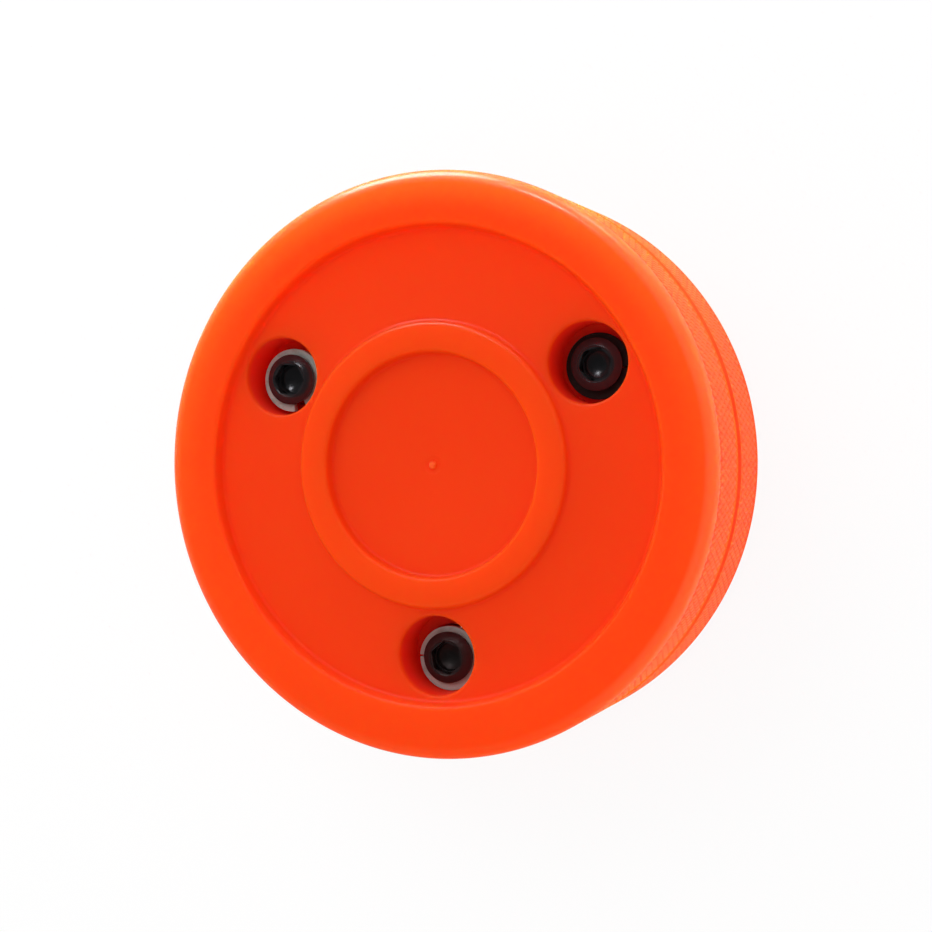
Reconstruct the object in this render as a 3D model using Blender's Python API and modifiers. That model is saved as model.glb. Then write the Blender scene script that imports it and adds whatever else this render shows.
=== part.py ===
"""Two-piece off-ice training puck: two moulded halves that float on three loose studs.

The puck lies flat with its axis along +Z and its lower rim on z = 0. Each stud is a threaded
spacer with a socket screw and a split lock washer at either end. Units are metres.
"""

from math import cos, hypot, pi, radians, sin

import bpy

# Driving dimensions of the puck and of one moulded half
PUCK_DIAMETER = 0.0762
PUCK_THICKNESS = 0.0254
PARTING_GAP = 0.0003
EDGE_WIDTH = 0.0018
EDGE_HEIGHT = 0.0014
EDGE_SEGMENTS = 5
GROOVE_HEIGHT = 0.0009
GROOVE_DEPTH = 0.0007
RIM_WIDTH = 0.0069
RECESS_DEPTH = 0.0017
CENTRE_DIAMETER = 0.0296
CENTRE_DEPTH = 0.0023
HUB_WIDTH = 0.00365
HUB_DROP = 0.0008
WALL_DRAFT = 0.0003
STEP_CHAMFER = 0.0003
GATE_DIAMETER = 0.0014
GATE_HEIGHT = 0.00035

# Stud holes in each half: a wide seat from the outside, then a clearance hole through the web
STUD_COUNT = 3
FIRST_STUD_ANGLE = radians(30)
SEAT_CLEARANCE = 0.0009
SEAT_DEPTH = 0.0059
SEAT_CHAMFER = 0.00025
STUD_CLEARANCE = 0.00085

# Stud pieces: a lifted stud lies at the front end of its play, the others at the rear end.
# Each loose stud has also dropped towards -Y, by a share of its clearance in the holes.
AXIAL_PLAY = 0.0012
STUD_LIFTED = (False, True, False)
STUD_DROPS = (0.1, 0.4, 0.8)
REST_GAP = 0.0003
STACK_GAP = 0.0002
THREAD_DIAMETER = 0.004
THREAD_CLEARANCE = 0.0002
SPACER_DIAMETER = 0.0055
WASHER_DIAMETER = 0.0086
WASHER_THICKNESS = 0.0009
WASHER_SLITS = (0.0005, 0.0017, 0.0004)
WASHER_SLIT_ANGLES = (radians(-5), radians(-62), radians(176))
WASHER_BLACK = (True, False, False)
HEAD_DIAMETER = 0.0068
HEAD_HEIGHT = 0.0012
HEAD_EDGE = 0.0005
SOCKET_ACROSS_FLATS = 0.0039
SOCKET_DEPTH = 0.0009
SOCKET_LEAD_DIAMETER = 0.0047
SOCKET_LEAD_DEPTH = 0.00015
SCREW_TIP_GAP = 0.0016

# Facets of the turned pieces, and how far a cutter runs past the face that it opens
HALF_STEPS = 72
HOLE_STEPS = 32
STUD_STEPS = 28
DOME_SEGMENTS = 4
MERGE_DISTANCE = 0.000001
CUTTER_OVERRUN = 0.001
SMOOTH_ANGLE = radians(32)

# Sizes that follow from the driving dimensions
PUCK_RADIUS = PUCK_DIAMETER / 2
HALF_HEIGHT = (PUCK_THICKNESS - PARTING_GAP) / 2
RECESS_FLOOR = HALF_HEIGHT - RECESS_DEPTH
WEB_THICKNESS = RECESS_FLOOR - SEAT_DEPTH
HUB_OUTER_RADIUS = CENTRE_DIAMETER / 2 + HUB_WIDTH
RECESS_OUTER_RADIUS = PUCK_RADIUS - RIM_WIDTH
STUD_CIRCLE_RADIUS = (HUB_OUTER_RADIUS + RECESS_OUTER_RADIUS) / 2
STUD_HOLE_RADIUS = SPACER_DIAMETER / 2 + STUD_CLEARANCE
SEAT_RADIUS = WASHER_DIAMETER / 2 + SEAT_CLEARANCE
BORE_RADIUS = THREAD_DIAMETER / 2 + THREAD_CLEARANCE
HALF_GRIP = WEB_THICKNESS + PARTING_GAP / 2 + REST_GAP + AXIAL_PLAY / 2


def clear_scene():
    """Remove every object that the opened file holds."""
    for old in list(bpy.data.objects):
        bpy.data.objects.remove(old, do_unlink=True)


def make_collection(name):
    """Return a new collection linked under the scene's own."""
    collection = bpy.data.collections.new(name)
    bpy.context.scene.collection.children.link(collection)
    return collection


def make_material(name, colour, roughness, metallic):
    """Return a Principled material of one finish."""
    material = bpy.data.materials.new(name)
    material.use_nodes = True
    shader = material.node_tree.nodes["Principled BSDF"]
    shader.inputs["Base Color"].default_value = (*colour, 1.0)
    shader.inputs["Roughness"].default_value = roughness
    shader.inputs["Metallic"].default_value = metallic
    material.diffuse_color = (*colour, 1.0)
    return material


def turn(name, profile, steps, closed, collection):
    """Return an object that turns a profile of (radius, height) points about the Z axis."""
    last = len(profile)
    edges = [(i, i + 1) for i in range(last - 1)]
    if closed:
        edges.append((last - 1, 0))
    mesh = bpy.data.meshes.new(name)
    mesh.from_pydata([(radius, 0.0, height) for radius, height in profile], edges, [])
    turned = bpy.data.objects.new(name, mesh)
    collection.objects.link(turned)
    screw = turned.modifiers.new("turn", "SCREW")
    screw.axis = "Z"
    screw.angle = 2 * pi
    screw.steps = steps
    screw.render_steps = steps
    screw.use_merge_vertices = True
    screw.merge_threshold = MERGE_DISTANCE
    return turned


def make_cutter(cutter):
    """Mark an object as a cutter."""
    cutter.hide_render = True
    cutter.display_type = "WIRE"
    return cutter


def cut(target, cutter):
    """Take a cutter's volume away from a piece."""
    boolean = target.modifiers.new("cut_" + cutter.name, "BOOLEAN")
    boolean.operation = "DIFFERENCE"
    boolean.object = cutter


def settle(blank):
    """Return the finished mesh of a blank with its modifiers, and remove the blank."""
    depsgraph = bpy.context.evaluated_depsgraph_get()
    mesh = bpy.data.meshes.new_from_object(blank.evaluated_get(depsgraph))
    mesh.name = blank.name
    mesh.shade_smooth()
    mesh.set_sharp_from_angle(angle=SMOOTH_ANGLE)
    bpy.data.objects.remove(blank, do_unlink=True)
    return mesh


def place(name, mesh, material, collection, location=(0.0, 0.0, 0.0), rotation=(0.0, 0.0, 0.0), parent=None):
    """Put one named piece in the model, and its finish on the mesh."""
    piece = bpy.data.objects.new(name, mesh)
    collection.objects.link(piece)
    if not mesh.materials:
        mesh.materials.append(material)
    piece.location = location
    piece.rotation_euler = rotation
    piece.parent = parent
    return piece


def hole_place(index):
    """Return a stud hole's place in plan."""
    angle = FIRST_STUD_ANGLE + 2 * pi * index / STUD_COUNT
    return STUD_CIRCLE_RADIUS * cos(angle), STUD_CIRCLE_RADIUS * sin(angle)


def dome(inner, outer):
    """Return points along a ball-shaped crown from one (radius, height) point out to another."""
    (inner_radius, top), (outer_radius, edge) = inner, outer
    centre = (outer_radius ** 2 - inner_radius ** 2 + edge ** 2 - top ** 2) / (2 * (edge - top))
    ball_radius = hypot(inner_radius, top - centre)
    step = (outer_radius - inner_radius) / DOME_SEGMENTS
    radii = [inner_radius + step * i for i in range(DOME_SEGMENTS + 1)]
    return [(radius, centre + (ball_radius ** 2 - radius ** 2) ** 0.5) for radius in radii]


def half_profile():
    """Return one half's section, from the gate nub at the top to the mating face at z = 0."""
    centre_floor = HALF_HEIGHT - CENTRE_DEPTH
    hub_top = HALF_HEIGHT - HUB_DROP
    centre_radius = CENTRE_DIAMETER / 2
    gate_radius = GATE_DIAMETER / 2
    profile = [
        (0.0, centre_floor + GATE_HEIGHT),
        (gate_radius / 2, centre_floor + GATE_HEIGHT),
        (gate_radius, centre_floor),
        (centre_radius - WALL_DRAFT, centre_floor),
        (centre_radius, hub_top - STEP_CHAMFER),
        (centre_radius + STEP_CHAMFER, hub_top),
        (HUB_OUTER_RADIUS - STEP_CHAMFER, hub_top),
        (HUB_OUTER_RADIUS, hub_top - STEP_CHAMFER),
        (HUB_OUTER_RADIUS + WALL_DRAFT, RECESS_FLOOR),
        (RECESS_OUTER_RADIUS - WALL_DRAFT, RECESS_FLOOR),
        (RECESS_OUTER_RADIUS, HALF_HEIGHT - STEP_CHAMFER),
        (RECESS_OUTER_RADIUS + STEP_CHAMFER, HALF_HEIGHT),
    ]
    for i in range(EDGE_SEGMENTS + 1):
        swing = 0.5 * pi * i / EDGE_SEGMENTS
        radius = PUCK_RADIUS - EDGE_WIDTH * (1 - sin(swing))
        profile.append((radius, HALF_HEIGHT - EDGE_HEIGHT * (1 - cos(swing))))
    profile.append((PUCK_RADIUS, GROOVE_HEIGHT))
    profile.append((PUCK_RADIUS - GROOVE_DEPTH, 0.0))
    profile.append((0.0, 0.0))
    return profile


def half_mesh(cutters):
    """Return the mesh that both halves share: the turned moulding with its stepped stud holes."""
    blank = turn("puck_half", half_profile(), HALF_STEPS, False, cutters)
    mouth = RECESS_FLOOR + CUTTER_OVERRUN
    hole = [
        (0.0, mouth),
        (SEAT_RADIUS + SEAT_CHAMFER, mouth),
        (SEAT_RADIUS + SEAT_CHAMFER, RECESS_FLOOR),
        (SEAT_RADIUS, RECESS_FLOOR - SEAT_CHAMFER),
        (SEAT_RADIUS, WEB_THICKNESS),
        (STUD_HOLE_RADIUS, WEB_THICKNESS),
        (STUD_HOLE_RADIUS, -CUTTER_OVERRUN),
        (0.0, -CUTTER_OVERRUN),
    ]
    holes = []
    for index in range(STUD_COUNT):
        cutter = make_cutter(turn(f"stud_hole_{index + 1}", hole, HOLE_STEPS, False, cutters))
        cutter.location = (*hole_place(index), 0.0)
        cut(blank, cutter)
        holes.append(cutter)
    bpy.context.view_layer.update()
    mesh = settle(blank)
    for cutter in holes:
        bpy.data.objects.remove(cutter, do_unlink=True)
    return mesh


def spacer_mesh(cutters):
    """Return the threaded spacer, centred on its own middle."""
    half_length = HALF_GRIP - STACK_GAP
    radius = SPACER_DIAMETER / 2
    profile = [
        (BORE_RADIUS, half_length),
        (radius, half_length),
        (radius, -half_length),
        (BORE_RADIUS, -half_length),
    ]
    return settle(turn("spacer", profile, STUD_STEPS, True, cutters))


def washer_mesh(slit, cutters):
    """Return a split lock washer that stands on z = 0, with its slit along +X."""
    radius = WASHER_DIAMETER / 2
    profile = [
        (BORE_RADIUS, WASHER_THICKNESS),
        (radius, WASHER_THICKNESS),
        (radius, 0.0),
        (BORE_RADIUS, 0.0),
    ]
    blank = turn("lock_washer", profile, STUD_STEPS, True, cutters)
    bpy.ops.mesh.primitive_cube_add(size=1.0)
    saw = make_cutter(bpy.context.active_object)
    saw.name = "washer_slit"
    saw.dimensions = (radius + CUTTER_OVERRUN, slit, WASHER_THICKNESS + 2 * CUTTER_OVERRUN)
    saw.location = ((radius + CUTTER_OVERRUN) / 2, 0.0, WASHER_THICKNESS / 2)
    cut(blank, saw)
    bpy.context.view_layer.update()
    mesh = settle(blank)
    bpy.data.objects.remove(saw, do_unlink=True)
    return mesh


def screw_mesh(cutters):
    """Return a domed socket screw whose head stands on z = 0 and whose shank points down."""
    head_radius = HEAD_DIAMETER / 2
    lead_radius = SOCKET_LEAD_DIAMETER / 2
    lead_floor = HEAD_HEIGHT - SOCKET_LEAD_DEPTH
    tip = SCREW_TIP_GAP / 2 - HALF_GRIP - WASHER_THICKNESS - STACK_GAP
    profile = [
        (0.0, lead_floor),
        (lead_radius - SOCKET_LEAD_DEPTH, lead_floor),
        *dome((lead_radius, HEAD_HEIGHT), (head_radius, HEAD_EDGE)),
        (head_radius, 0.0),
        (THREAD_DIAMETER / 2, 0.0),
        (THREAD_DIAMETER / 2, tip),
        (0.0, tip),
    ]
    blank = turn("socket_screw", profile, STUD_STEPS, False, cutters)
    corner_radius = SOCKET_ACROSS_FLATS / 2 / cos(pi / 6)
    depth = SOCKET_DEPTH + CUTTER_OVERRUN
    bpy.ops.mesh.primitive_cylinder_add(vertices=6, radius=corner_radius, depth=depth)
    key = make_cutter(bpy.context.active_object)
    key.name = "hex_socket"
    key.location = (0.0, 0.0, HEAD_HEIGHT - SOCKET_DEPTH + depth / 2)
    cut(blank, key)
    bpy.context.view_layer.update()
    mesh = settle(blank)
    bpy.data.objects.remove(key, do_unlink=True)
    return mesh


def build_halves(puck, cutters, plastic):
    """Place the two halves mating face to mating face, the rear one turned over about the Y axis."""
    mesh = half_mesh(cutters)
    middle = PUCK_THICKNESS / 2
    place("rear_half", mesh, plastic, puck, (0.0, 0.0, middle - PARTING_GAP / 2), (0.0, pi, 0.0))
    place("front_half", mesh, plastic, puck, (0.0, 0.0, middle + PARTING_GAP / 2))


def build_stud(index, spacer, screw, cutters, puck, steel, black_steel):
    """Place one loose stud on its own axis, at one end of its play and dropped in its holes."""
    axis = bpy.data.objects.new(f"stud_axis_{index + 1}", None)
    axis.empty_display_size = WASHER_DIAMETER
    lift = AXIAL_PLAY / 2 if STUD_LIFTED[index] else -AXIAL_PLAY / 2
    x, y = hole_place(index)
    drop = STUD_DROPS[index] * min(STUD_CLEARANCE, SEAT_CLEARANCE)
    axis.location = (x, y - drop, PUCK_THICKNESS / 2 + lift)
    puck.objects.link(axis)
    place(f"spacer_{index + 1}", spacer, steel, puck, parent=axis)
    washer = washer_mesh(WASHER_SLITS[index], cutters)
    washer_steel = black_steel if WASHER_BLACK[index] else steel
    head_seat = HALF_GRIP + WASHER_THICKNESS + STACK_GAP
    for side, sign, turn_over in (("front", 1, 0.0), ("rear", -1, pi)):
        place(f"{side}_lock_washer_{index + 1}", washer, washer_steel, puck, (0.0, 0.0, sign * HALF_GRIP),
              (turn_over, 0.0, WASHER_SLIT_ANGLES[index]), axis)
        place(f"{side}_screw_{index + 1}", screw, black_steel, puck, (0.0, 0.0, sign * head_seat),
              (turn_over, 0.0, 0.0), axis)


def main():
    """Build the puck."""
    clear_scene()
    puck = make_collection("training_puck")
    cutters = make_collection("cutters")
    plastic = make_material("orange_plastic", (0.98, 0.065, 0.008), 0.38, 0.0)
    steel = make_material("zinc_plated_steel", (0.47, 0.45, 0.42), 0.34, 1.0)
    black_steel = make_material("black_oxide_steel", (0.012, 0.012, 0.013), 0.3, 0.6)
    build_halves(puck, cutters, plastic)
    spacer = spacer_mesh(cutters)
    screw = screw_mesh(cutters)
    for index in range(STUD_COUNT):
        build_stud(index, spacer, screw, cutters, puck, steel, black_steel)


main()
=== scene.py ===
"""Looks of the two-piece training puck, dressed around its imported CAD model.

Two moulded halves with knurled sides float on three loose studs. Each half, washer and screw is a
detailed piece that stands for its plain solid, and each finish is made from shader nodes. Units are
metres, in the frame of the CAD model: the puck lies flat with its axis along +Z.
"""

import logging
from collections.abc import Callable, Sequence
from dataclasses import dataclass
from enum import Enum
from math import atan2, cos, hypot, pi, radians, sin
from typing import Any

import bmesh
import bpy
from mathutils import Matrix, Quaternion, Vector


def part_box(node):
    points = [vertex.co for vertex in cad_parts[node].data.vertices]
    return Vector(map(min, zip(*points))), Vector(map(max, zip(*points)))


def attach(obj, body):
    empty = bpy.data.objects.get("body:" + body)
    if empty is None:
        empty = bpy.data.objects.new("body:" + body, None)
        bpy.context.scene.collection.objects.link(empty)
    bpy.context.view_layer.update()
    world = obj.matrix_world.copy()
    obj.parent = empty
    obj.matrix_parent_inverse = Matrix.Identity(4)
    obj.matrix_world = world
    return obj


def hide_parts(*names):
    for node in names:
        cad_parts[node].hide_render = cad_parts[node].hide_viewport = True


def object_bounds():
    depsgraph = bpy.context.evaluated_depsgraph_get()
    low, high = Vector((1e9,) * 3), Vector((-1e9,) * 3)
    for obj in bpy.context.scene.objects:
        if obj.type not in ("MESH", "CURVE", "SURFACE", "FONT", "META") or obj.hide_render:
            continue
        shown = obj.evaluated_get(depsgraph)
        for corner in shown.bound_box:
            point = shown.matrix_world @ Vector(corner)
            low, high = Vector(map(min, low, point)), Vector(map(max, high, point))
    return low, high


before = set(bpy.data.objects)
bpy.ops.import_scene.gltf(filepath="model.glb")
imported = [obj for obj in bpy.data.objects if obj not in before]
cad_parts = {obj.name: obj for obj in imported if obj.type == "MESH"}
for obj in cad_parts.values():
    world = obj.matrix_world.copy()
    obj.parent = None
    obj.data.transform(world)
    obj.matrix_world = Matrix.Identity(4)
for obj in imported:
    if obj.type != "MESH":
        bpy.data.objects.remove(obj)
CAD_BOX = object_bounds()

LOG = logging.getLogger("training_puck")

# Points closer together than this are merged
WELD = 0.000001
# Points within this of a level or a radius count as lying on it
TOUCH = 0.00001
# Edges that turn by more than this stay sharp
SHARP = radians(35)
ORIGIN = (0.0, 0.0, 0.0)
WHITE = (1.0, 1.0, 1.0)

Colour = tuple[float, float, float]
Place = tuple[float, float, float]


class Side(Enum):
    """The two ends of the puck's axis."""

    FRONT = "front"
    REAR = "rear"


class Slot(Enum):
    """The record's material slots."""

    PLASTIC = "orange_plastic"
    PLATED = "plated_steel"
    BLACK = "black_steel"


class Pick(Enum):
    """What a selection in edit mode is made of."""

    VERT = (True, False, False)
    EDGE = (False, True, False)
    FACE = (False, False, True)


@dataclass(frozen=True)
class Step:
    """A smooth step from one value to another, such as the edge of a mask.

    Attributes:
        start: Where the step starts.
        end: Where the step ends.
        low: The value at the start.
        high: The value at the end.
    """

    start: float
    end: float
    low: float = 0.0
    high: float = 1.0


@dataclass(frozen=True)
class Noise:
    """A noise of about 0 to 1.

    Attributes:
        scale: Waves per metre.
        detail: How many finer octaves are added.
        roughness: How strong the finer octaves are.
    """

    scale: float
    detail: float
    roughness: float = 0.5


@dataclass(frozen=True)
class Wire:
    """An output socket of a node on a board, which takes part in Python expressions."""

    board: "ShaderBoard"
    socket: bpy.types.NodeSocket

    def math(self, operation: str, first: Any, second: Any) -> "Wire":
        """Return the result of a Math node on two wires or numbers."""
        return self.board.wire(self.board.node("Math", {"operation": operation}, {0: first, 1: second}))

    def __add__(self, other: Any) -> "Wire":
        """Return self + other."""
        return self.math("ADD", self, other)

    def __radd__(self, other: Any) -> "Wire":
        """Return other + self."""
        return self.math("ADD", other, self)

    def __sub__(self, other: Any) -> "Wire":
        """Return self - other."""
        return self.math("SUBTRACT", self, other)

    def __rsub__(self, other: Any) -> "Wire":
        """Return other - self."""
        return self.math("SUBTRACT", other, self)

    def __mul__(self, other: Any) -> "Wire":
        """Return self * other."""
        return self.math("MULTIPLY", self, other)

    def __rmul__(self, other: Any) -> "Wire":
        """Return other * self."""
        return self.math("MULTIPLY", other, self)

    def __pow__(self, other: float) -> "Wire":
        """Return self to the power of other."""
        return self.math("POWER", self, other)


class ShaderBoard:
    """The node tree of one material or world, with the moves that the finishes are written in."""

    def __init__(self, owner: bpy.types.ID) -> None:
        """Take over the node tree of a material or a world."""
        owner.use_nodes = True
        self.tree = owner.node_tree

    def node(self, kind: str, settings: dict[str, Any], sockets: dict[Any, Any]) -> bpy.types.Node:
        """Add a node.

        Args:
            kind: The node's type, without its ShaderNode prefix.
            settings: The node's own settings, which are set first.
            sockets: The value or the wire of each input, by the input's name or number.

        Returns:
            The new node.
        """
        made = self.tree.nodes.new("ShaderNode" + kind)
        for key, value in settings.items():
            setattr(made, key, value)
        for key, value in sockets.items():
            self.feed(made.inputs[key], value)
        return made

    def feed(self, socket: bpy.types.NodeSocket, value: Any) -> None:
        """Link a wire to an input, or set the input's own value.

        Args:
            socket: The input socket.
            value: A wire, a number, a vector or a colour of three parts.
        """
        if isinstance(value, Wire):
            self.tree.links.new(value.socket, socket)
        elif socket.type == "RGBA":
            socket.default_value = (*value, 1.0)
        else:
            socket.default_value = value

    def wire(self, node: bpy.types.Node, output: Any = 0) -> Wire:
        """Return one output of a node as a wire."""
        return Wire(self, node.outputs[output])

    def place(self) -> Wire:
        """Return the place on the piece, which is also its place in the frame."""
        return self.wire(self.node("TexCoord", {}, {}), "Object")

    def parts(self, vector: Wire) -> tuple[Wire, Wire, Wire]:
        """Return the three parts of a vector."""
        split = self.node("SeparateXYZ", {}, {"Vector": vector})
        return self.wire(split, 0), self.wire(split, 1), self.wire(split, 2)

    def noise(self, vector: Wire, noise: Noise) -> Wire:
        """Return a noise that is read at a place."""
        look = {"Scale": noise.scale, "Detail": noise.detail, "Roughness": noise.roughness}
        return self.wire(self.node("TexNoise", {}, {"Vector": vector, **look}), "Fac")

    def ramp(self, value: Wire, step: Step) -> Wire:
        """Return a smooth step that a value drives."""
        sockets = {0: value, 1: step.start, 2: step.end, 3: step.low, 4: step.high}
        return self.wire(self.node("MapRange", {"interpolation_type": "SMOOTHSTEP"}, sockets))

    def blend(self, factor: Any, first: Any, second: Any) -> Wire:
        """Return a mix of two colours, in which the factor is the share of the second."""
        mixed = self.node("Mix", {"data_type": "RGBA"}, {0: factor, 6: first, 7: second})
        return self.wire(mixed, 2)

    def bump(self, height: Wire, strength: float, distance: float) -> Wire:
        """Return a normal tilted by a height, of which 1 is the distance in metres."""
        sockets = {"Strength": strength, "Distance": distance, "Height": height}
        return self.wire(self.node("Bump", {}, sockets))


class Finish:
    """A finish that a piece is dressed in."""

    name = "finish"

    def paint(self, board: ShaderBoard, shader: bpy.types.Node) -> None:
        """Wire the finish into its material's Principled shader."""
        raise NotImplementedError

    def make(self) -> bpy.types.Material:
        """Return the finish as a new material."""
        material = bpy.data.materials.new(self.name)
        board = ShaderBoard(material)
        self.paint(board, board.tree.nodes["Principled BSDF"])
        return material


@dataclass(frozen=True)
class OrangePlastic(Finish):
    """Satin moulded plastic that lets a little light through.

    Heights are measured from the puck's middle plane, so both halves get the same looks.

    Attributes:
        raised: The plastic's colour on the raised faces.
        sunk: The deeper colour on the sunk faces.
        deep: Painted shade: the crimson of the shaded walls inside the stud holes.
        painted_glow: Painted light: the lighter orange of a glow that stands for light coming through the
            rim's edge, strongest towards +Y.
        edge: Painted light: the pale orange on the outer turn of the rounding between the rim and the side,
            most towards +Y.
        pale_side_and_edge_light: The paler colour of the knurl's diamonds, partly painted sheen, which is
            also painted light on the rounded edge towards +X and +Y.
        knurl_line_shade: Painted shade: the darker colour in the knurl's lines.
        shade: The deeper colour inside the parting groove.
        blush: The paler colour of the gate.
        middle: Height of the puck's middle plane in the frame.
        outer_radius: Radius of the puck.
        flow: The broad clouds in the sunk colour.
        flow_share: The least share of the sunk colour, and what the clouds add to it.
        grain: The fine grain of the surface.
        grain_bump: How much of the grain's tilt is used, and the grain's depth.
        low_step: Heights between which the sunk colour gives way to the raised one.
        wall_shade_step: Radii between which painted shade takes the sunk colour higher up the rim's wall.
        wall_shade_lift: How much higher that painted shade reaches, from -Y to +Y.
        face_step: Radii at which the face with its sunk parts ends.
        hole_shade_step: Heights below which the stud holes take that painted shade.
        ring_step: Radii at which the hub ends and the ring of the stud holes starts.
        side_step: Heights at which the knurled side ends.
        line_step: Radii from the knurl's lines out to its diamonds.
        outer_step: Radii at which the rounded edge starts.
        turn_step: Heights on the rounded edge between which its pale colour comes in.
        painted_glow_step: Radii between which the painted glow comes in on the rim.
        light_lean: How much the painted light towards +Y counts beside that towards +X.
        wear_and_light_step: How the painted light on the rounded edge grows in that direction.
        edge_share: The least share of the edge's colour, and what grows towards +Y.
        hatch_step: How the painted shade in the knurl's lines grows with the square of the distance from
            the X axis.
        seam_step: Heights at which the parting groove ends.
        gate_step: Radii at which the gate's blush ends.
        lip_step: Radii at which the glossy lip of the hub starts.
        sheen_step: How the edge's gloss grows towards +Y.
        side_sheen: How much gloss the knurled side lacks.
        lip_sheen: The lip's gloss.
        dullness: The least roughness, and what the grain adds to it.
        gloss: How strongly the plastic itself reflects.
        sheen_dullness: Roughness of the gloss.
        glow: How much light goes into the plastic.
        glow_depth: How deep that light goes.
        glow_tint: How deep each colour goes beside that.
    """

    raised: Colour = (0.99, 0.063, 0.0025)
    sunk: Colour = (0.89, 0.048, 0.0030)
    deep: Colour = (0.90, 0.021, 0.0085)
    painted_glow: Colour = (0.99, 0.15, 0.009)
    edge: Colour = (0.98, 0.15, 0.030)
    pale_side_and_edge_light: Colour = (0.97, 0.071, 0.0128)
    knurl_line_shade: Colour = (0.90, 0.040, 0.0055)
    shade: Colour = (0.80, 0.021, 0.003)
    blush: Colour = (0.98, 0.12, 0.03)
    middle: float = 0.0127
    outer_radius: float = 0.0381
    flow: Noise = Noise(60.0, 3.0)
    flow_share: tuple[float, float] = (0.85, 0.3)
    grain: Noise = Noise(5200.0, 3.0, 0.55)
    grain_bump: tuple[float, float] = (0.2, 0.00002)
    low_step: Step = Step(0.0111, 0.0119, 1.0, 0.0)
    wall_shade_step: Step = Step(0.0193, 0.0205)
    wall_shade_lift: Step = Step(-0.02, 0.02, 0.0018, 0.0006)
    face_step: Step = Step(0.0311, 0.0317, 1.0, 0.0)
    hole_shade_step: Step = Step(0.0096, 0.0108, 1.0, 0.0)
    ring_step: Step = Step(0.0185, 0.0193)
    side_step: Step = Step(0.0111, 0.0113, 1.0, 0.0)
    line_step: Step = Step(0.03785, 0.0381, 1.0, 0.0)
    outer_step: Step = Step(0.03625, 0.03705)
    turn_step: Step = Step(0.0113, 0.0120)
    painted_glow_step: Step = Step(0.0325, 0.0372)
    light_lean: float = 0.6
    wear_and_light_step: Step = Step(-0.01, 0.02, 0.2, 1.0)
    edge_share: tuple[float, float] = (0.4, 0.6)
    hatch_step: Step = Step(0.0001, 0.0006, 0.5, 1.0)
    seam_step: Step = Step(0.0010, 0.0013, 1.0, 0.0)
    gate_step: Step = Step(0.00036, 0.0006, 0.6, 0.0)
    lip_step: Step = Step(0.0179, 0.0182)
    sheen_step: Step = Step(-0.036, -0.018, 0.3, 1.0)
    side_sheen: float = 0.8
    lip_sheen: float = 0.25
    dullness: tuple[float, float] = (0.42, 0.12)
    gloss: float = 0.08
    sheen_dullness: float = 0.2
    glow: float = 0.85
    glow_depth: float = 0.008
    glow_tint: Colour = (1.0, 0.30, 0.04)
    name = "orange_moulded_plastic"

    def paint(self, board: ShaderBoard, shader: bpy.types.Node) -> None:
        """Wire in the colours of the face, edge, side and groove, with their painted light and shade, and
        the satin and the gloss of the edges.
        """
        place = board.place()
        x, y, z = board.parts(place)
        radius = (x * x + y * y) ** 0.5
        offset = z - self.middle
        height = offset.math("ABSOLUTE", offset, 0.0)
        flow = board.noise(place, self.flow)
        grain = board.noise(place, self.grain)
        face = board.ramp(radius, self.face_step)
        ring = board.ramp(radius, self.ring_step)
        side = board.ramp(height, self.side_step)
        outer = board.ramp(radius, self.outer_step)
        # How much of the painted light is used, from none at -Y to all at +Y.
        top_light = (y * (0.5 / self.outer_radius) + 0.5) ** 2.0

        # Painted shade: the rim's wall keeps the sunk colour higher up, most towards -Y.
        wall_shade = board.ramp(radius, self.wall_shade_step) * board.ramp(y, self.wall_shade_lift)
        low = board.ramp(height - wall_shade, self.low_step) * face
        colour = board.blend(low * (self.flow_share[0] + self.flow_share[1] * flow), self.raised, self.sunk)
        # Painted shade: the stud holes turn crimson below the recess.
        colour = board.blend(board.ramp(height, self.hole_shade_step) * ring * face, colour, self.deep)
        # Painted light: a glow on the rim's outer part, strongest towards +Y.
        colour = board.blend(board.ramp(radius, self.painted_glow_step) * top_light, colour, self.painted_glow)
        # Painted light: the rounded edge takes the side's pale colour towards +X and +Y; on the knurled
        # side that colour is partly painted sheen.
        wear_and_light = board.ramp(x + self.light_lean * y, self.wear_and_light_step)
        colour = board.blend(outer * (wear_and_light + side * (1.0 - wear_and_light)), colour, self.pale_side_and_edge_light)
        # Painted light: the outer turn of the rounded edge goes pale orange, most towards +Y.
        pale = outer * board.ramp(height, self.turn_step) * wear_and_light
        colour = board.blend(pale * (self.edge_share[0] + self.edge_share[1] * top_light), colour, self.edge)
        # Painted shade in the knurl's lines, stronger away from the X axis.
        line = side * board.ramp(radius, self.line_step) * board.ramp(y * y, self.hatch_step)
        colour = board.blend(line * (1.0 - face), colour, self.knurl_line_shade)
        colour = board.blend(board.ramp(height, self.seam_step) * (1.0 - face), colour, self.shade)
        colour = board.blend(board.ramp(radius, self.gate_step), colour, self.blush)
        board.feed(shader.inputs["Base Color"], colour)

        sheen = outer * board.ramp(y, self.sheen_step) * (1.0 - self.side_sheen * side)
        lip = board.ramp(radius, self.lip_step) * (1.0 - ring)
        board.feed(shader.inputs["Coat Weight"], sheen + self.lip_sheen * lip)
        board.feed(shader.inputs["Roughness"], self.dullness[0] + self.dullness[1] * grain)
        board.feed(shader.inputs["Normal"], board.bump(grain, *self.grain_bump))
        shader.inputs["Specular IOR Level"].default_value = self.gloss
        shader.inputs["Coat Roughness"].default_value = self.sheen_dullness
        shader.inputs["Subsurface Weight"].default_value = self.glow
        shader.inputs["Subsurface Radius"].default_value = self.glow_tint
        shader.inputs["Subsurface Scale"].default_value = self.glow_depth


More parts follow.
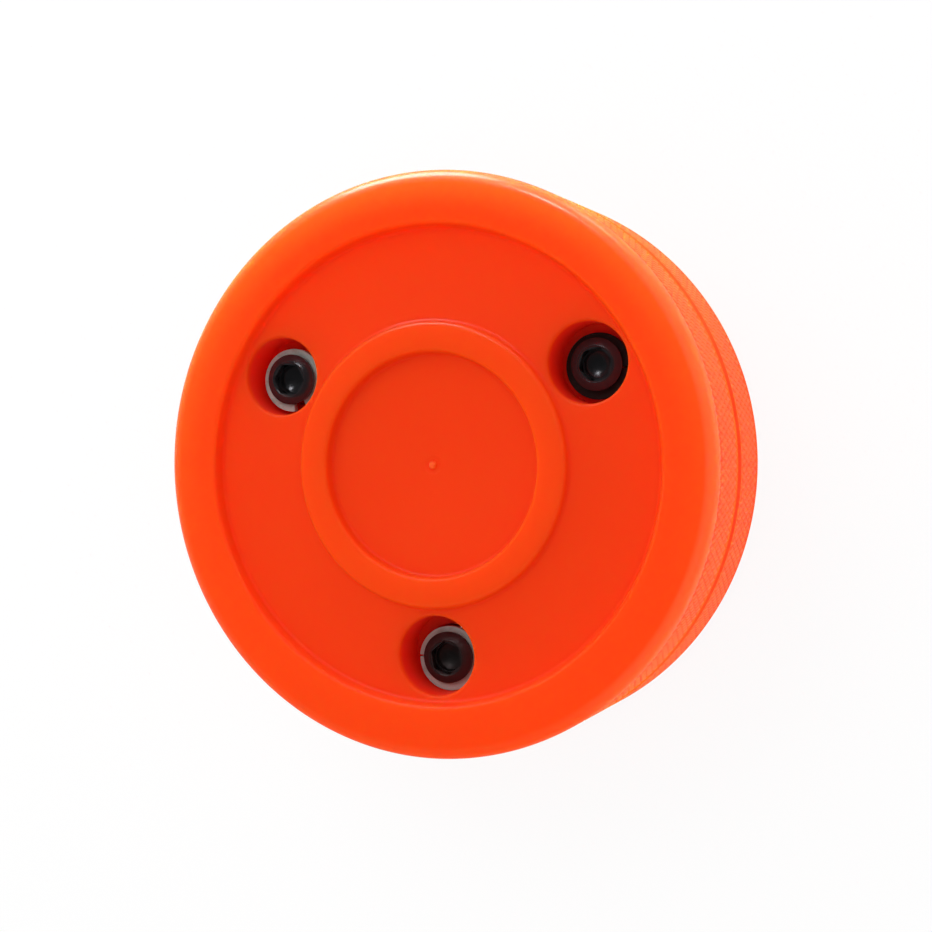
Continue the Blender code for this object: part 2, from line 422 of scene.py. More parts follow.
@dataclass(frozen=True)
class PlatedSteel(Finish):
    """Dull zinc-plated steel.

    Attributes:
        colour: The plating's colour.
        stain: The darker colour of its stains.
        stain_step: The part of the clouds that is stained.
        cloud: The clouds of the stains.
        pits: The fine pitting.
        pit_bump: How much of the pitting's tilt is used, and the pitting's depth.
        dullness: The least roughness, and what the clouds and the pitting add to it.
        metallic: How much the surface reflects like a metal.
    """

    colour: Colour = (0.46, 0.70, 0.66)
    stain: Colour = (0.33, 0.50, 0.45)
    stain_step: Step = Step(0.45, 0.75)
    cloud: Noise = Noise(700.0, 4.0, 0.6)
    pits: Noise = Noise(9000.0, 2.0)
    pit_bump: tuple[float, float] = (0.3, 0.00001)
    dullness: tuple[float, float, float] = (0.42, 0.16, 0.08)
    metallic: float = 0.5
    name = "zinc_plated_steel"

    def paint(self, board: ShaderBoard, shader: bpy.types.Node) -> None:
        """Wire in the stains and the fine pitting of the plating."""
        place = board.place()
        cloud = board.noise(place, self.cloud)
        pits = board.noise(place, self.pits)
        colour = board.blend(board.ramp(cloud, self.stain_step), self.colour, self.stain)
        least, clouded, pitted = self.dullness
        board.feed(shader.inputs["Base Color"], colour)
        board.feed(shader.inputs["Roughness"], least + clouded * cloud + pitted * pits)
        board.feed(shader.inputs["Normal"], board.bump(pits, *self.pit_bump))
        shader.inputs["Metallic"].default_value = self.metallic


@dataclass(frozen=True)
class BlackOxide(Finish):
    """Black-oxide steel with an oily sheen.

    Attributes:
        colour: The oxide's colour.
        wear_and_light: The colour where the oxide is thin.
        dullness: The least roughness.
        metallic: How much the surface reflects like a metal.
        name: The material's name.
        wear_and_light_step: The part of the clouds where the oxide is thin.
        cloud: The clouds of the oxide.
        cloud_dullness: What the clouds add to the roughness.
        pits: The fine pitting.
        pit_bump: How much of the pitting's tilt is used, and the pitting's depth.
        gloss: How strongly the part that isn't metallic reflects.
    """

    colour: Colour = (0.055, 0.055, 0.06)
    wear_and_light: Colour = (0.08, 0.075, 0.075)
    dullness: float = 0.2
    metallic: float = 0.75
    name: str = "black_oxide_steel"
    wear_and_light_step: Step = Step(0.5, 0.8)
    cloud: Noise = Noise(900.0, 4.0, 0.6)
    cloud_dullness: float = 0.1
    pits: Noise = Noise(8000.0, 2.0)
    pit_bump: tuple[float, float] = (0.2, 0.000008)
    gloss: float = 0.15

    def paint(self, board: ShaderBoard, shader: bpy.types.Node) -> None:
        """Wire in the thin spots of the oxide and its oily sheen."""
        place = board.place()
        cloud = board.noise(place, self.cloud)
        colour = board.blend(board.ramp(cloud, self.wear_and_light_step), self.colour, self.wear_and_light)
        tilted = board.bump(board.noise(place, self.pits), *self.pit_bump)
        board.feed(shader.inputs["Base Color"], colour)
        board.feed(shader.inputs["Roughness"], self.dullness + self.cloud_dullness * cloud)
        board.feed(shader.inputs["Normal"], tilted)
        shader.inputs["Metallic"].default_value = self.metallic
        shader.inputs["Specular IOR Level"].default_value = self.gloss


class Bench:
    """The edit-mode moves that the pieces are shaped with."""

    @staticmethod
    def clear() -> None:
        """Leave edit mode and deselect every object."""
        if bpy.context.object and bpy.context.object.mode == "EDIT":
            bpy.ops.object.mode_set(mode="OBJECT")
        bpy.ops.object.select_all(action="DESELECT")

    @staticmethod
    def hold(piece: bpy.types.Object) -> None:
        """Select one piece alone in object mode."""
        Bench.clear()
        piece.select_set(True)
        bpy.context.view_layer.objects.active = piece

    @staticmethod
    def enter(piece: bpy.types.Object) -> None:
        """Open one piece alone in edit mode."""
        Bench.hold(piece)
        bpy.ops.object.mode_set(mode="EDIT")

    @staticmethod
    def take_all() -> None:
        """Select all of the open piece."""
        bpy.ops.mesh.select_all(action="SELECT")

    @staticmethod
    def apply(piece: bpy.types.Object, kind: str, **settings: Any) -> None:
        """Give a piece a modifier with some settings, and apply it."""
        Bench.hold(piece)
        bpy.ops.object.modifier_add(type=kind)
        modifier = piece.modifiers[-1]
        for key, value in settings.items():
            setattr(modifier, key, value)
        bpy.ops.object.modifier_apply(modifier=modifier.name)

    @staticmethod
    def pick(piece: bpy.types.Object, kind: Pick, test: Callable[[Any], bool]) -> int:
        """Select what passes a test on its place, and nothing else.

        Args:
            piece: The piece that is open in edit mode.
            kind: Whether vertices, edges or faces are tested.
            test: The test, which takes a vertex, an edge or a face.

        Returns:
            How many parts are selected.
        """
        bpy.context.tool_settings.mesh_select_mode = kind.value
        bpy.ops.mesh.select_all(action="DESELECT")
        shape = bmesh.from_edit_mesh(piece.data)
        parts = {Pick.VERT: shape.verts, Pick.EDGE: shape.edges, Pick.FACE: shape.faces}[kind]
        found = [part for part in parts if test(part)]
        for part in found:
            part.select_set(True)
        bmesh.update_edit_mesh(piece.data)
        return len(found)

    @staticmethod
    def outline(name: str, points: Sequence[tuple[float, float]]) -> bpy.types.Object:
        """Draw an open outline in the XZ plane by extruding one point after another.

        Args:
            name: The new piece's name.
            points: The radius and the height of each point.

        Returns:
            The new piece, open in edit mode.
        """
        Bench.clear()
        bpy.ops.mesh.primitive_plane_add(size=0.001)
        piece = bpy.context.object
        piece.name = name
        Bench.enter(piece)
        bpy.context.tool_settings.mesh_select_mode = Pick.VERT.value
        Bench.take_all()
        bpy.ops.mesh.merge(type="CENTER")
        bpy.ops.transform.translate(value=(points[0][0], 0.0, points[0][1]))
        for start, end in zip(points, points[1:]):
            step = (end[0] - start[0], 0.0, end[1] - start[1])
            bpy.ops.mesh.extrude_vertices_move(TRANSFORM_OT_translate={"value": step})
        return piece

    @staticmethod
    def spin(steps: int) -> None:
        """Turn the open outline once about the Z axis into a closed form."""
        Bench.take_all()
        bpy.ops.mesh.spin(steps=steps, angle=2 * pi, center=ORIGIN, axis=(0.0, 0.0, 1.0))
        Bench.take_all()
        bpy.ops.mesh.remove_doubles(threshold=WELD)
        bpy.ops.mesh.normals_make_consistent(inside=False)

    @staticmethod
    def round_ring(piece: bpy.types.Object, corner: Place, segments: int) -> None:
        """Round one circular edge of a turned piece.

        Args:
            piece: The piece that is open in edit mode.
            corner: The edge's radius and height, and how far its rounding reaches along each face.
            segments: How many facets the rounding has.
        """
        radius, height, size = corner

        def on_ring(edge: bmesh.types.BMEdge) -> bool:
            """Tell whether both ends of an edge lie on the ring."""
            return all(abs(hypot(v.co.x, v.co.y) - radius) < TOUCH and abs(v.co.z - height) < TOUCH
                       for v in edge.verts)

        Bench.pick(piece, Pick.EDGE, on_ring)
        bpy.ops.mesh.bevel(offset=size, segments=segments, affect="EDGES")

    @staticmethod
    def turned(name: str, corners: Sequence[Place], steps: int, segments: int) -> bpy.types.Object:
        """Turn an outline about the Z axis and round its corners.

        Args:
            name: The new piece's name.
            corners: The radius, the height and the rounding of each corner.
            steps: How many steps the turn has.
            segments: How many facets each rounding has.

        Returns:
            The turned piece, open in edit mode.
        """
        piece = Bench.outline(name, [(radius, height) for radius, height, _ in corners])
        Bench.spin(steps)
        for corner in corners:
            if corner[2]:
                Bench.round_ring(piece, corner, segments)
        return piece

    @staticmethod
    def shift(move: Place) -> None:
        """Move all of the open piece."""
        Bench.take_all()
        bpy.ops.transform.translate(value=move)

    @staticmethod
    def swing(angle: float, axis: str, centre: Place) -> None:
        """Turn all of the open piece about an axis through a centre."""
        Bench.take_all()
        bpy.ops.transform.rotate(value=angle, orient_axis=axis, center_override=centre)

    @staticmethod
    def cut(piece: bpy.types.Object, cutter: bpy.types.Object) -> None:
        """Take a cutter away from a piece, and delete the cutter."""
        Bench.apply(piece, "BOOLEAN", operation="DIFFERENCE", solver="EXACT", object=cutter)
        bpy.data.objects.remove(cutter, do_unlink=True)

    @staticmethod
    def copy(piece: bpy.types.Object, name: str) -> bpy.types.Object:
        """Return a copy of a piece with its own mesh, open in edit mode."""
        Bench.hold(piece)
        bpy.ops.object.duplicate()
        twin = bpy.context.object
        twin.name = name
        Bench.enter(twin)
        return twin

    @staticmethod
    def finish(piece: bpy.types.Object) -> None:
        """Leave edit mode and shade a piece smooth, apart from its sharp edges."""
        Bench.hold(piece)
        bpy.ops.object.shade_smooth_by_angle(angle=SHARP)

    @staticmethod
    def hand_over(
        piece: bpy.types.Object, node: str, body: str, slot: Slot, finish: bpy.types.Material,
    ) -> None:
        """Dress a finished piece and let it stand for a CAD node.

        Args:
            piece: The finished piece.
            node: The CAD node that the piece stands for.
            body: The CAD body that the piece rides on.
            slot: The record's material slot, which is not used.
            finish: The piece's material.
        """
        piece.data.name = piece.name
        piece.data.materials.clear()
        piece.data.materials.append(finish)
        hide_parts(node)
        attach(piece, body)
        LOG.info("%s stands for %s, %d faces", piece.name, node, len(piece.data.polygons))


@dataclass
class PuckHalves:
    """The two equal moulded halves, each with its face, stud holes, knurled side and parting groove.

    Attributes:
        centre_radius: Radius of the sunk centre disc.
        centre_depth: How far the disc lies below the rim.
        hub_radius: Outer radius of the hub ring round the disc.
        hub_drop: How far the hub ring lies below the rim.
        recess_radius: Radius of the recessed ring at the middle of its outer slope.
        recess_depth: How far the recessed ring lies below the rim.
        slope: Width of that outer slope.
        draft: Lean of the hub's walls.
        lip: Rounding of the hub's edges.
        soft: Rounding at the top and the foot of the outer slope.
        crisp: Rounding of the gate's edges and of the parting groove's.
        edge_width: How far the rounding of the puck's edge reaches into the face.
        edge_height: How far it reaches down the side.
        edge_steps: How many facets that rounding has.
        gate_radius: Radius of the gate's nub.
        gate_top: Radius of the nub's flat top.
        gate_height: Height of the nub above the disc.
        dish_radius: Radius of the shallow dish round the nub.
        dish_floor: Radius of the dish's floor.
        dish_depth: Depth of that dish.
        groove_height: Half of the parting groove's width.
        groove_depth: Depth of the parting groove.
        seat_radius: Radius of a stud hole's seat.
        seat_floor: Height of the seat's floor above the mating face.
        mouth: Rounding of a stud hole's mouth.
        hole_steps: How many steps a stud hole's wall has.
        round_steps: How many facets each rounding has.
        bore_radius: Radius of the stud hole through the web.
        stud_circle: Radius of the circle that the stud holes lie on.
        stud_angles: Where the stud holes lie on that circle.
        teeth: Knurl diamonds round the side.
        rows: Half diamonds across the side.
        row_height: Half the length of a diamond.
        knurl_depth: Depth of the lines between the diamonds.
        knurl_line: Half the width of those lines.
    """

    centre_radius: float = 0.0148
    centre_depth: float = 0.0023
    hub_radius: float = 0.01845
    hub_drop: float = 0.0008
    recess_radius: float = 0.0310
    recess_depth: float = 0.0017
    slope: float = 0.0005
    draft: float = 0.0003
    lip: float = 0.00042
    soft: float = 0.00045
    crisp: float = 0.0001
    edge_width: float = 0.0018
    edge_height: float = 0.0014
    edge_steps: int = 8
    gate_radius: float = 0.00058
    gate_top: float = 0.000348
    gate_height: float = 0.0003
    dish_radius: float = 0.00125
    dish_floor: float = 0.001
    dish_depth: float = 0.0001
    groove_height: float = 0.0009
    groove_depth: float = 0.0007
    seat_radius: float = 0.0052
    seat_floor: float = 0.00495
    mouth: float = 0.00045
    hole_steps: int = 72
    round_steps: int = 4
    bore_radius: float = 0.0036
    stud_circle: float = 0.024825
    stud_angles: tuple[float, ...] = (radians(30), radians(150), radians(270))
    teeth: int = 225
    rows: int = 7
    row_height: float = 0.00139
    knurl_depth: float = 0.0002
    knurl_line: float = 0.00016

    def __post_init__(self) -> None:
        """Read the halves' outer sizes from the CAD model."""
        low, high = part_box("front_half")
        self.mating, self.rim, self.radius = low.z, high.z, high.x
        self.middle = (CAD_BOX[0].z + CAD_BOX[1].z) / 2

    def row_levels(self) -> list[float]:
        """Return the heights of the knurl's rows on the front half, from the top down."""
        top = self.rim - self.edge_height
        foot = self.mating + self.groove_height
        first = (top + foot + self.rows * self.row_height) / 2
        return [first - self.row_height * row for row in range(self.rows + 1)]

    def edge(self) -> list[Place]:
        """Return the points of the puck's rounded edge, from the rim to the side."""
        turns = [pi / 2 * step / self.edge_steps for step in range(self.edge_steps + 1)]
        return [(self.radius - self.edge_width * (1 - sin(turn)),
                 self.rim - self.edge_height * (1 - cos(turn)), 0.0) for turn in turns]

    def corners(self) -> list[Place]:
        """Return the radius, height and rounding of each corner of the front half's section."""
        centre = self.rim - self.centre_depth
        hub = self.rim - self.hub_drop
        recess = self.rim - self.recess_depth
        dish = centre - self.dish_depth
        return [
            (0.0, centre + self.gate_height, 0.0),
            (self.gate_top, centre + self.gate_height, self.crisp),
            (self.gate_radius, dish, 0.0),
            (self.dish_floor, dish, 0.0),
            (self.dish_radius, centre, self.crisp),
            (self.centre_radius - self.draft, centre, self.lip),
            (self.centre_radius, hub, self.lip),
            (self.hub_radius, hub, self.lip),
            (self.hub_radius + self.draft, recess, self.lip),
            (self.recess_radius - self.slope / 2, recess, self.soft),
            (self.recess_radius + self.slope / 2, self.rim, self.soft),
            *self.edge(),
            *((self.radius, level, 0.0) for level in self.row_levels()),
            (self.radius, self.mating + self.groove_height, self.crisp),
            (self.radius - self.groove_depth, self.mating, 0.0),
            (0.0, self.mating, 0.0),
        ]

    def bore(self, piece: bpy.types.Object, x: float, y: float) -> None:
        """Cut one stepped stud hole with a rounded mouth.

        Args:
            piece: The half that is cut.
            x: The hole's place across.
            y: The hole's place along.
        """
        recess = self.rim - self.recess_depth
        seat = self.mating + self.seat_floor
        flare = self.seat_radius + self.mouth
        cutter = Bench.turned("stud_hole", [
            (0.0, self.rim, 0.0),
            (flare, self.rim, 0.0),
            (flare, recess, 0.0),
            (self.seat_radius, recess, self.mouth),
            (self.seat_radius, seat, 0.0),
            (self.bore_radius, seat, 0.0),
            (self.bore_radius, self.mating - self.mouth, 0.0),
            (0.0, self.mating - self.mouth, 0.0),
        ], self.hole_steps, self.round_steps)
        Bench.shift((x, y, 0.0))
        Bench.cut(piece, cutter)

    def knurl(self, piece: bpy.types.Object) -> None:
        """Raise the diamonds of the knurled side.

        Args:
            piece: The front half, open in edit mode.
        """
        levels = self.row_levels()
        step = pi / self.teeth

        def lattice(vert: bmesh.types.BMVert) -> tuple[int, int] | None:
            """Return a vertex's column and row in the knurl, or None off it."""
            if hypot(vert.co.x, vert.co.y) < self.radius - 2 * self.knurl_depth:
                return None
            row = round((levels[0] - vert.co.z) / self.row_height)
            if not 0 <= row <= self.rows or abs(levels[row] - vert.co.z) > TOUCH:
                return None
            return round(atan2(vert.co.y, vert.co.x) / step), row

        def is_low(vert: bmesh.types.BMVert) -> bool:
            """Tell whether a vertex lies where two lines of the knurl cross."""
            cell = lattice(vert)
            return cell is not None and sum(cell) % 2 == 1

        def is_peak(vert: bmesh.types.BMVert) -> bool:
            """Tell whether a vertex lies in the middle of a whole diamond."""
            cell = lattice(vert)
            return cell is not None and sum(cell) % 2 == 0 and 0 < cell[1] < self.rows

        Bench.pick(piece, Pick.VERT, is_low)
        share = 1 - self.knurl_depth / self.radius
        bpy.ops.transform.resize(value=(share, share, 1.0), center_override=ORIGIN)
        Bench.pick(piece, Pick.FACE, lambda face: all(lattice(vert) for vert in face.verts))
        bpy.ops.mesh.quads_convert_to_tris(quad_method="SHORTEST_DIAGONAL")
        Bench.pick(piece, Pick.VERT, is_peak)
        bpy.ops.mesh.dissolve_verts()
        Bench.pick(piece, Pick.FACE, lambda face: len(face.verts) == 4 and all(map(is_low, face.verts)))
        bpy.ops.mesh.inset(thickness=self.knurl_line, depth=self.knurl_depth, use_individual=True)

    def build(self) -> dict[Side, bpy.types.Object]:
        """Model the front half, and turn a copy of it over for the rear.

        Returns:
            The finished half of each side.
        """
        front = Bench.turned("knurled_front_half", self.corners(), 2 * self.teeth, self.round_steps)
        for angle in self.stud_angles:
            self.bore(front, self.stud_circle * cos(angle), self.stud_circle * sin(angle))
        Bench.enter(front)
        self.knurl(front)
        Bench.finish(front)
        rear = Bench.copy(front, "knurled_rear_half")
        Bench.swing(pi, "Y", (0.0, 0.0, self.middle))
        Bench.finish(rear)
        return {Side.FRONT: front, Side.REAR: rear}

    def dress(self, halves: dict[Side, bpy.types.Object], plastic: bpy.types.Material) -> None:
        """Dress both halves and let them stand for their CAD solids."""
        for side, half in halves.items():
            node = f"{side.value}_half"
            Bench.hand_over(half, node, node, Slot.PLASTIC, plastic)


@dataclass
class SocketScrew:
    """A socket screw with a low dome, modelled once and copied to each place.

    Attributes:
        head_radius: Radius of the head.
        head_height: Height of the head.
        dome_radius: Radius of the ball that the head's dome is part of.
        dome_steps: How many facets the dome has.
        shank_radius: Radius of the shank.
        shank_length: Length of the shank below the head.
        lead_radius: Radius of the socket's chamfered mouth.
        lead_depth: Depth of that chamfer.
        flats: The socket's size across its flats.
        socket_depth: Depth of the socket's flats.
        drill_radius: Radius of the drilled hole below the flats.
        drill_depth: Depth of the drilled hole's wall below the head's top.
        drill_tip: Depth of its pointed end below that.
        lead_soft: Rounding of the chamfered mouth's edge.
        foot_soft: Rounding of the head's foot.
        tip_soft: Rounding of the shank's end.
        socket_soft: Rounding of the socket's corners and of the drilled hole's floor.
        corner_steps: How many facets the rounding of a corner has.
        turn_steps: How many steps the turned form has.
        round_steps: How many facets its roundings have.
    """

    head_radius: float = 0.0034
    head_height: float = 0.0012
    dome_radius: float = 0.0053
    dome_steps: int = 6
    shank_radius: float = 0.002
    shank_length: float = 0.0063
    lead_radius: float = 0.00235
    lead_depth: float = 0.00015
    flats: float = 0.0039
    socket_depth: float = 0.0012
    drill_radius: float = 0.00185
    drill_depth: float = 0.0022
    drill_tip: float = 0.0009
    lead_soft: float = 0.00005
    foot_soft: float = 0.00008
    tip_soft: float = 0.0003
    socket_soft: float = 0.00015
    corner_steps: int = 3
    turn_steps: int = 64
    round_steps: int = 5

    def build(self) -> bpy.types.Object:
        """Return the screw with its head standing on z = 0 and its shank below."""
        lead_floor = self.head_height - self.lead_depth
        ball = self.head_height - (self.dome_radius ** 2 - self.lead_radius ** 2) ** 0.5
        reach = (self.head_radius - self.lead_radius) / self.dome_steps
        dome = [self.lead_radius + reach * step for step in range(1, self.dome_steps + 1)]
        screw = Bench.turned("socket_screw", [
            (0.0, self.head_height - self.drill_depth - self.drill_tip, 0.0),
            (self.drill_radius, self.head_height - self.drill_depth, self.socket_soft),
            (self.drill_radius, lead_floor, 0.0),
            (self.lead_radius - self.lead_depth, lead_floor, 0.0),
            (self.lead_radius, self.head_height, self.lead_soft),
            *((radius, ball + (self.dome_radius ** 2 - radius ** 2) ** 0.5, 0.0) for radius in dome),
            (self.head_radius, 0.0, self.foot_soft),
            (self.shank_radius, 0.0, 0.0),
            (self.shank_radius, -self.shank_length, self.tip_soft),
            (0.0, -self.shank_length, 0.0),
        ], self.turn_steps, self.round_steps)

        def is_upright(edge: bmesh.types.BMEdge) -> bool:
            """Tell whether an edge of the key runs along the screw's axis."""
            return abs(edge.verts[0].co.z - edge.verts[1].co.z) > self.lead_depth

        Bench.clear()
        bpy.ops.mesh.primitive_cylinder_add(
            vertices=6, radius=self.flats / 2 / cos(pi / 6), depth=2 * self.socket_depth,
            location=(0.0, 0.0, self.head_height))
        key = bpy.context.object
        Bench.enter(key)
        Bench.pick(key, Pick.EDGE, is_upright)
        bpy.ops.mesh.bevel(offset=self.socket_soft, segments=self.corner_steps, affect="EDGES")
        Bench.cut(screw, key)
        Bench.finish(screw)
        return screw


@dataclass
class Stud:
    """One loose stud: a spacer with a screw and a split lock washer at either end.

    Attributes:
        number: The stud's number in the CAD model.
        slit: Width of the washers' slit.
        slit_angle: Where the slit points, seen from the front.
        rise: How far one end of the split washer stands above the other.
        slack: How far the washers hang towards -Y on the screws.
        washer_steel: The washers' material slot.
        washer_look: The washers' material.
        screw_look: The screws' material.
        washer_bore: Radius of the washers' hole.
        washer_steps: How many steps a washer's turn has.
        washer_fold: The least turn of an edge of a washer that is rounded.
        washer_round: The size of that rounding, and how many facets it has.
        screw_turn: How much further the screws of each stud are turned than those of the one before.
    """

    number: int
    slit: float
    slit_angle: float
    rise: float
    slack: float
    washer_steel: Slot
    washer_look: bpy.types.Material
    screw_look: bpy.types.Material
    washer_bore: float = 0.00235
    washer_steps: int = 60
    washer_fold: float = radians(60)
    washer_round: tuple[float, int] = (0.00008, 2)
    screw_turn: float = radians(17)

    def __post_init__(self) -> None:
        """Read the stud's axis from its spacer in the CAD model."""
        low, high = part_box(f"spacer_{self.number}")
        self.x, self.y = (low.x + high.x) / 2, (low.y + high.y) / 2
        self.body = f"stud_{self.number}"

    def washer(self, side: Side) -> bpy.types.Object:
        """Model one split washer in its place.

        Args:
            side: The end of the stud that the washer is on.

        Returns:
            The finished washer.
        """
        low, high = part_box(f"{side.value}_lock_washer_{self.number}")
        radius = (high.y - low.y) / 2
        thick = high.z - low.z
        gap = self.slit / radius
        bore = self.washer_bore
        section = [(bore, 0.0), (radius, 0.0), (radius, thick), (bore, thick), (bore, 0.0)]
        piece = Bench.outline(f"split_washer_{side.value}_{self.number}", section)
        Bench.take_all()
        bpy.ops.mesh.remove_doubles(threshold=WELD)
        Bench.apply(piece, "SCREW", axis="Z", angle=2 * pi - gap, screw_offset=self.rise,
                    steps=self.washer_steps, render_steps=self.washer_steps)
        Bench.enter(piece)
        Bench.take_all()
        bpy.ops.mesh.fill_holes(sides=0)
        Bench.take_all()
        bpy.ops.mesh.normals_make_consistent(inside=False)
        bpy.context.tool_settings.mesh_select_mode = Pick.EDGE.value
        bpy.ops.mesh.select_all(action="DESELECT")
        bpy.ops.mesh.edges_select_sharp(sharpness=self.washer_fold)
        bpy.ops.mesh.bevel(offset=self.washer_round[0], segments=self.washer_round[1], affect="EDGES")
        Bench.swing(-self.slit_angle - gap / 2, "Z", ORIGIN)
        if side is Side.REAR:
            Bench.swing(pi, "X", (0.0, 0.0, thick / 2))
        Bench.shift((self.x, self.y - self.slack, low.z - self.rise / 2))
        Bench.finish(piece)
        return piece

    def screw(self, side: Side, pattern: bpy.types.Object) -> bpy.types.Object:
        """Copy the screw to one end of the stud.

        Args:
            side: The end of the stud that the screw is on.
            pattern: The screw that is copied.

        Returns:
            The finished screw.
        """
        low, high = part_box(f"{side.value}_screw_{self.number}")
        pattern_top = max(vert.co.z for vert in pattern.data.vertices)
        piece = Bench.copy(pattern, f"socket_screw_{side.value}_{self.number}")
        Bench.swing(self.screw_turn * self.number, "Z", ORIGIN)
        if side is Side.REAR:
            Bench.swing(pi, "X", ORIGIN)
            Bench.shift((self.x, self.y, low.z + pattern_top))
        else:
            Bench.shift((self.x, self.y, high.z - pattern_top))
        Bench.finish(piece)
        return piece

    def build(self, pattern: bpy.types.Object, plated: bpy.types.Material) -> None:
        """Model and dress both ends of the stud, and dress its spacer.

        Args:
            pattern: The screw that is copied.
            plated: The spacer's material.
        """
        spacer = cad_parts[f"spacer_{self.number}"]
        spacer.data.materials.clear()
        spacer.data.materials.append(plated)
        LOG.info("%s keeps its solid", spacer.name)
        for side in Side:
            node = f"{side.value}_lock_washer_{self.number}"
            Bench.hand_over(self.washer(side), node, self.body, self.washer_steel, self.washer_look)
            node = f"{side.value}_screw_{self.number}"
            Bench.hand_over(self.screw(side, pattern), node, self.body, Slot.BLACK, self.screw_look)


@dataclass(frozen=True)
class Lamp:
    """One soft lamp that shines on the puck.

    Attributes:
        name: The lamp's name.
        place: Where the lamp stands.
        size: The width and the height of its panel.
        watts: Its power.
        shines: Whether it lights the surfaces.
        glints: Whether it shows in reflections.
    """

    name: str
    place: Place
    size: tuple[float, float]
    watts: float
    shines: bool
    glints: bool

    def make(self, target: Vector) -> None:
        """Stand the lamp in its place and point it at a target."""
        lamp = bpy.data.lights.new(self.name, "AREA")
        lamp.shape = "RECTANGLE"
        lamp.size, lamp.size_y = self.size
        lamp.energy = self.watts
        stand = bpy.data.objects.new(self.name, lamp)
        bpy.context.scene.collection.objects.link(stand)
        stand.location = self.place
        stand.visible_diffuse = self.shines
        stand.visible_glossy = self.glints
        stand.rotation_mode = "QUATERNION"
        stand.rotation_quaternion = (target - Vector(self.place)).to_track_quat("-Z", "Y")


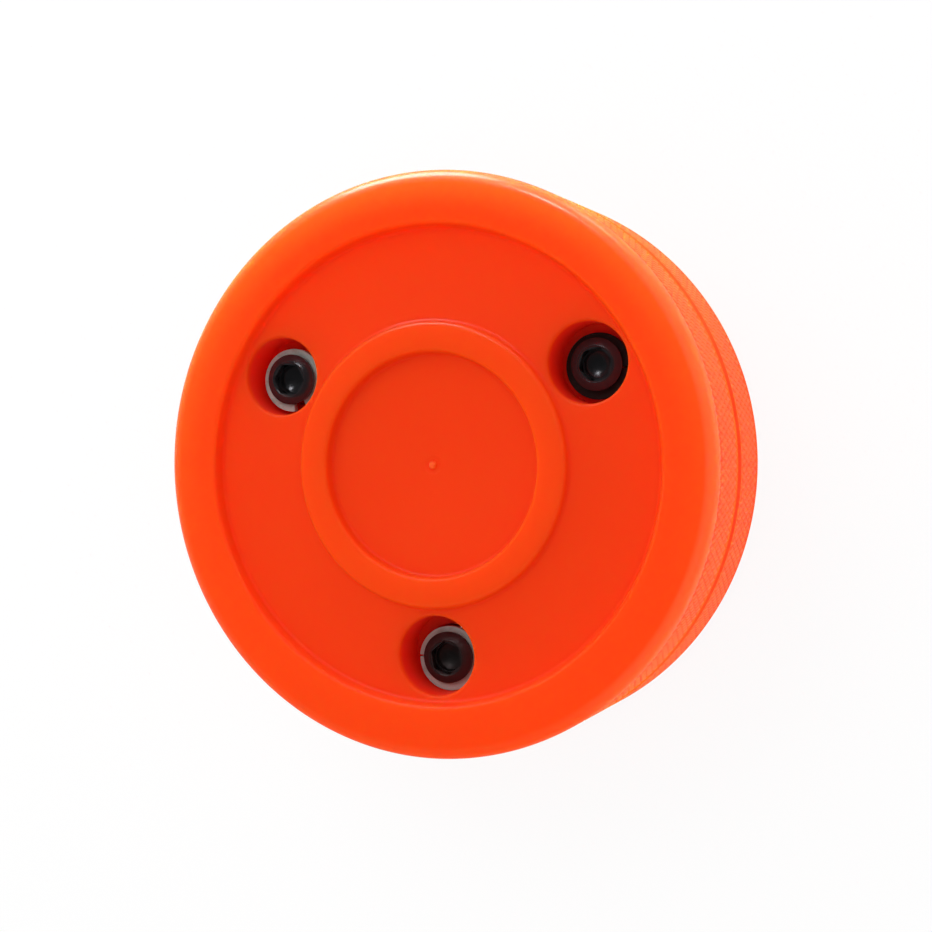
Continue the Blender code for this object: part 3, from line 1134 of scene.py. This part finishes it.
@dataclass
class Studio:
    """The camera, the pale floor and the soft light.

    Attributes:
        camera_place: Where the camera stands.
        camera_turn: How the camera is turned, as a quaternion.
        lens: The camera's focal length in millimetres.
        sensor: The width of its sensor in millimetres.
        clip: The nearest and the furthest that it sees.
        floor_size: The floor's side.
        floor_drop: How far the floor lies below the puck.
        floor_colour: The floor's pale colour.
        floor_dullness: The floor's roughness.
        floor_white: The share of plain white that is seen on the floor.
        floor_gleam: How bright that white is in a reflection.
        sky: The light level of the surroundings, from the horizon to overhead.
        lean: How much more of that light comes from +X and from +Y than from all round.
        ring: The light level of the bright ring just above the horizon.
        ring_lean: The same as lean, for the ring.
        gleam: The share of the sky's light that is seen in a reflection.
        lamps: The soft lamps.
    """

    camera_place: Place = (0.0815828, 0.0018999, 0.21894)
    camera_turn: tuple[float, float, float, float] = (0.9824497, -0.0073870, 0.1859912, -0.0120548)
    lens: float = 62.9708
    sensor: float = 36.0
    clip: tuple[float, float] = (0.01, 100.0)
    floor_size: float = 6.0
    floor_drop: float = 0.00005
    floor_colour: Colour = (0.95, 0.95, 0.95)
    floor_dullness: float = 0.9
    floor_white: float = 0.9
    floor_gleam: float = 0.35
    sky: Step = Step(0.0, 0.8, 0.87, 0.80)
    lean: tuple[float, float] = (-0.2, 0.3)
    ring: Step = Step(0.0, 0.03, 24.0, 0.0)
    ring_lean: tuple[float, float] = (-0.05, 0.75)
    gleam: float = 0.07
    lamps: tuple[Lamp, ...] = (
        Lamp("panel", (-0.13, 0.21, 0.26), (0.25, 0.25), 0.42, True, False),
        Lamp("crown", (-0.1, 0.32, 0.0105), (0.6, 0.018), 2.2, True, False),
        Lamp("flank", (0.28, -0.16, 0.0105), (0.4, 0.018), 0.46, True, False),
        Lamp("rim", (-0.22, 0.54, 0.17), (0.32, 0.32), 3.5, False, True),
        Lamp("glint", (0.16, 0.42, 0.16), (0.12, 0.12), 0.22, False, True),
        Lamp("spark", (-0.01, 0.30, 0.36), (0.06, 0.06), 0.3, False, True),
    )

    def camera(self) -> None:
        """Stand the camera at the photograph's viewing angle."""
        data = bpy.data.cameras.new("camera")
        data.lens = self.lens
        data.sensor_width = self.sensor
        data.clip_start, data.clip_end = self.clip
        camera = bpy.data.objects.new("camera", data)
        bpy.context.scene.collection.objects.link(camera)
        camera.location = self.camera_place
        camera.rotation_mode = "QUATERNION"
        camera.rotation_quaternion = Quaternion(self.camera_turn)
        bpy.context.scene.camera = camera

    def floor(self) -> None:
        """Lay the pale floor, which shows plain white with the puck's soft shadow."""
        Bench.clear()
        level = CAD_BOX[0].z - self.floor_drop
        bpy.ops.mesh.primitive_plane_add(size=self.floor_size, location=(0.0, 0.0, level))
        floor = bpy.context.object
        floor.name = "floor"
        paper = bpy.data.materials.new("pale_floor")
        board = ShaderBoard(paper)
        diffuse = board.tree.nodes["Principled BSDF"]
        board.feed(diffuse.inputs["Base Color"], self.floor_colour)
        board.feed(diffuse.inputs["Roughness"], self.floor_dullness)
        path = board.node("LightPath", {}, {})
        camera = board.wire(path, "Is Camera Ray")
        mirrored = board.wire(path, "Is Glossy Ray") + board.wire(path, "Is Transmission Ray")
        glare = camera + self.floor_gleam * mirrored
        white = board.node("Emission", {}, {"Color": WHITE, "Strength": glare})
        share = self.floor_white * (camera + mirrored)
        mixed = board.node("MixShader", {}, {0: share, 1: board.wire(diffuse), 2: board.wire(white)})
        board.feed(board.tree.nodes["Material Output"].inputs["Surface"], board.wire(mixed))
        floor.data.materials.append(paper)

    def surroundings(self) -> None:
        """Light the scene softly from low all round, before a white background."""
        world = bpy.data.worlds.new("surroundings")
        bpy.context.scene.world = world
        board = ShaderBoard(world)
        x, y, up = board.parts(board.wire(board.node("TexCoord", {}, {}), "Generated"))
        level = board.ramp(up, self.sky) * (1.0 + self.lean[0] * x + self.lean[1] * y * (1.0 - up))
        ring = board.ramp(up, self.ring) * (1.0 + self.ring_lean[0] * x + self.ring_lean[1] * y)
        path = board.node("LightPath", {}, {})
        camera = board.wire(path, "Is Camera Ray")
        mirrored = board.wire(path, "Is Glossy Ray")
        level = (level + ring) * (1.0 - mirrored) + self.gleam * mirrored * level
        background = board.tree.nodes["Background"]
        board.feed(background.inputs["Color"], WHITE)
        board.feed(background.inputs["Strength"], level + camera * (1.0 - level))

    def build(self) -> None:
        """Set up the whole studio."""
        bpy.context.scene.view_settings.view_transform = "Standard"
        self.camera()
        self.floor()
        self.surroundings()
        target = (CAD_BOX[0] + CAD_BOX[1]) / 2
        for lamp in self.lamps:
            lamp.make(target)


def main() -> None:
    """Build the studio and dress the puck, piece by piece."""
    logging.basicConfig(level=logging.INFO, format="%(name)s: %(message)s")
    Studio().build()
    halves = PuckHalves()
    halves.dress(halves.build(), OrangePlastic().make())
    plated = PlatedSteel().make()
    oily = BlackOxide().make()
    # Painted shade: a rougher, darker copy of the black oxide keeps glints off the lowest stud's screws.
    shaded_oxide = BlackOxide((0.05, 0.042, 0.042), (0.07, 0.06, 0.06), 0.42, 0.75, "shaded_black_oxide").make()
    dull = BlackOxide((0.010, 0.009, 0.008), (0.02, 0.018, 0.016), 0.5, 0.0, "dull_black_steel").make()
    pattern = SocketScrew().build()
    for stud in (
        Stud(1, 0.0003, radians(-5), 0.00005, 0.0002, Slot.BLACK, dull, oily),
        Stud(2, 0.0018, radians(-75), 0.00025, 0.00008, Slot.PLATED, plated, oily),
        Stud(3, 0.00028, radians(176), 0.0001, 0.00018, Slot.PLATED, plated, shaded_oxide),
    ):
        stud.build(pattern, plated)
    bpy.data.objects.remove(pattern, do_unlink=True)


if __name__ == "__main__":
    main()
